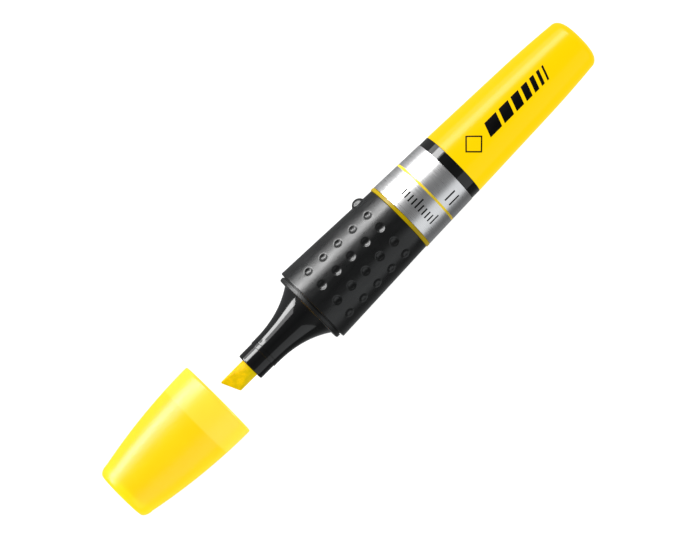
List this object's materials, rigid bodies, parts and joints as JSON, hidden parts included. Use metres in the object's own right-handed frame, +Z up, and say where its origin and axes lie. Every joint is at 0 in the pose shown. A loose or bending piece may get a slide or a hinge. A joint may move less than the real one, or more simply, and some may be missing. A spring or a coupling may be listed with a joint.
{
  "type": "highlighter",
  "caption": "Wide capped liquid-ink highlighter with a chisel nib, a dimpled rubber grip, a roll-stop bead and a pull-off cap with a sealing inner cap.",
  "frame": {"origin": "centre of the footprint on the table, with the cap pulled off and lying in line with the pen", "axes": "+X along the pen from the nib towards the tail, +Z up from the table, +Y to the side that the roll-stop bead is on"},
  "size_m": [0.1678, 0.0232, 0.0233],
  "materials": {
    "cap_plastic": "translucent fluorescent yellow, polished",
    "liner_plastic": "yellow, satin",
    "nib_fibre": "bonded fibre soaked with yellow ink",
    "black_plastic": "black, polished",
    "seal_rubber": "matt",
    "feed_plastic": "natural white",
    "grip_rubber": "smooth, slightly glossy",
    "accent_plastic": "yellow, polished",
    "label_film": "metallised film, fine satin",
    "barrel_plastic": "opaque yellow, polished",
    "ink": "fluorescent liquid"
  },
  "bodies": {
    "pen": {"nib": "nib_fibre", "front_section": "black_plastic", "section_gasket": "seal_rubber", "ink_regulator": "feed_plastic", "feed_wick": "nib_fibre", "front_barrel": "black_plastic", "grip_sleeve": "grip_rubber", "accent_ring": "accent_plastic", "label_sleeve": "label_film", "rear_barrel": "barrel_plastic", "tank_plug": "feed_plastic", "ink_charge": "ink"},
    "cap": {"cap_shell": "cap_plastic", "cap_liner": "liner_plastic"}
  },
  "joints": [
    {"name": "cap_pull", "type": "slide", "parent": "pen", "child": "cap", "axis": [-1, 0, 0], "range_m": [-0.0343, 0.02]}
  ]
}
